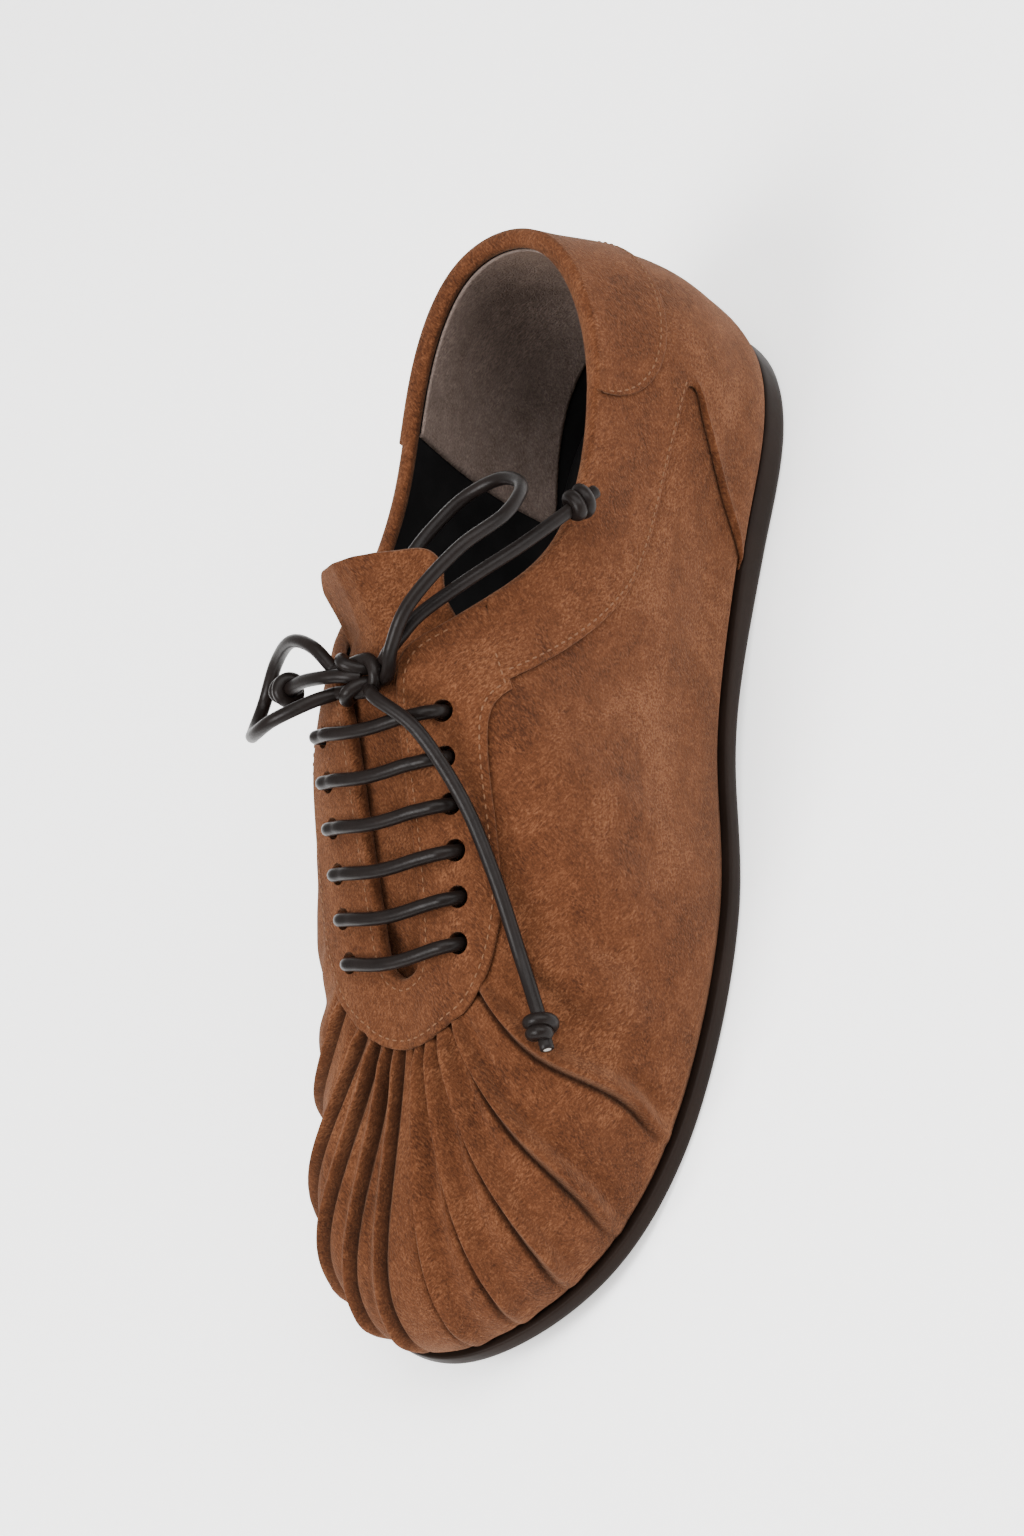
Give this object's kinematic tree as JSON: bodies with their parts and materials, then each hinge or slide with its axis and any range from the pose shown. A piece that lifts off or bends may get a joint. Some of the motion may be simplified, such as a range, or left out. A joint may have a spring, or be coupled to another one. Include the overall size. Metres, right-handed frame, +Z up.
{
  "type": "laced loafer",
  "caption": "Low suede shoe with a gathered round toe, a lacing slot with round cord laces tied in a bow, an open collar and a thin rubber sole.",
  "frame": {"origin": "on the floor under the middle of the shoe's box, free laces left out", "axes": "+X from heel to toe, +Y to the wearer's left, which is the outer side, +Z up"},
  "size_m": [0.2548, 0.0912, 0.0922],
  "materials": {
    "suede": "brushed suede",
    "lace": "smooth, slight gloss",
    "insole": "smooth, matt",
    "sole": "smooth"
  },
  "bodies": {
    "root": {"outsole": "sole", "insole": "insole", "upper": "suede", "eyestay": "suede", "quarter_panel": "suede", "heel_tab": "suede", "tongue": "suede", "lace_bar_1": "lace", "lace_bar_2": "lace", "lace_bar_3": "lace", "lace_bar_4": "lace", "lace_bar_5": "lace", "lace_bar_6": "lace", "lace_knot": "lace", "lace_loop_left": "lace", "lace_loop_right": "lace", "lace_end_upper": "lace", "lace_end_lower": "lace", "lace_end_left": "lace", "lace_stopper_upper": "lace", "lace_stopper_lower": "lace", "lace_stopper_left": "lace"}
  },
  "joints": []
}
